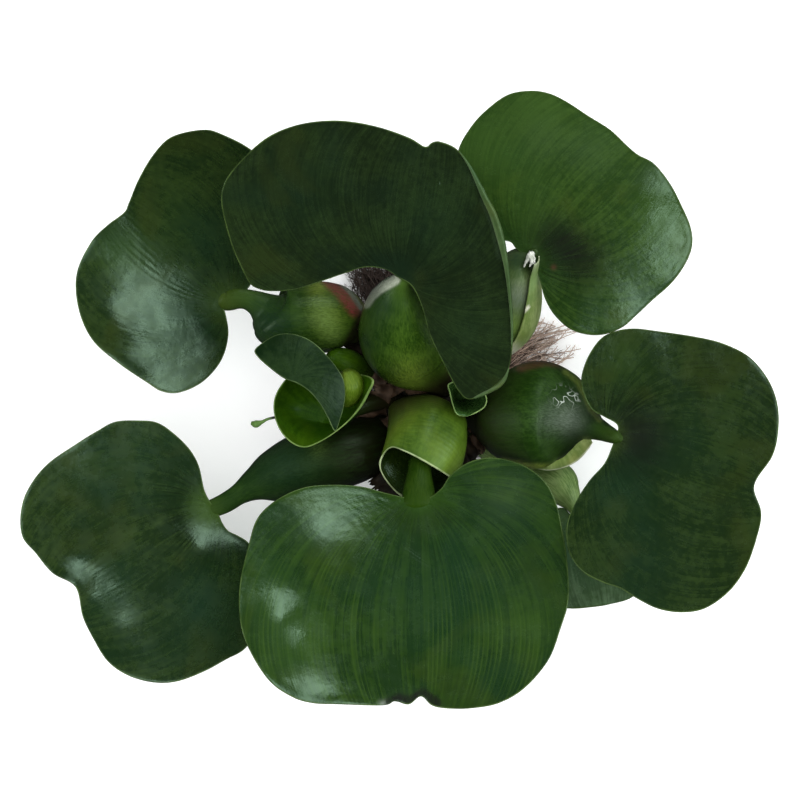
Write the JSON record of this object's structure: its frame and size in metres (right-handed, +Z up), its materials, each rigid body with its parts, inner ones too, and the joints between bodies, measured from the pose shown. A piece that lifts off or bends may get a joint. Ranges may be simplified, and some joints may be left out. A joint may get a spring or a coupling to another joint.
{
  "type": "water hyacinth plant",
  "caption": "Floating water plant: a rosette of glossy rounded leaves on swollen spongy petioles, with a half-open young leaf, a pale sheath and feathery roots that it rests on.",
  "frame": {"origin": "on the flat underside of the root mass, straight below the crown", "axes": "+X to the right of the picture (east) and +Y to its top (north), along the resting surface; +Z up"},
  "size_m": [0.2678, 0.217, 0.1148],
  "materials": {
    "blade": "glossy dark green leaf with fine parallel veins and a broad soft sheen",
    "float": "smooth satin green, finely striped lengthwise, spongy inside",
    "petiole": "smooth satin green stalk",
    "bud": "smooth satin yellow-green",
    "young_leaf": "satin bright green leaf with fine veins and a pale edge",
    "sheath": "thin pale yellow-green membrane, finely ribbed",
    "crown": "dull dark brown stem",
    "roots": "feathery fibres, dull purple-brown to pinkish brown"
  },
  "bodies": {
    "root": {"blade_north_west": "blade", "blade_north": "blade", "blade_north_east": "blade", "blade_east": "blade", "blade_south": "blade", "blade_west": "blade", "blade_south_east": "blade", "float_north_west": "float", "float_north": "float", "float_north_east": "float", "float_east": "float", "float_west": "float", "float_south_east": "float", "petiole_south": "petiole", "petiole_young": "petiole", "bud_round": "bud", "bud_bright": "bud", "sprout": "bud", "young_leaf": "young_leaf", "furled_leaf": "young_leaf", "sheath_south": "sheath", "membrane_north_east": "sheath", "crown": "crown", "roots": "roots"}
  },
  "joints": []
}
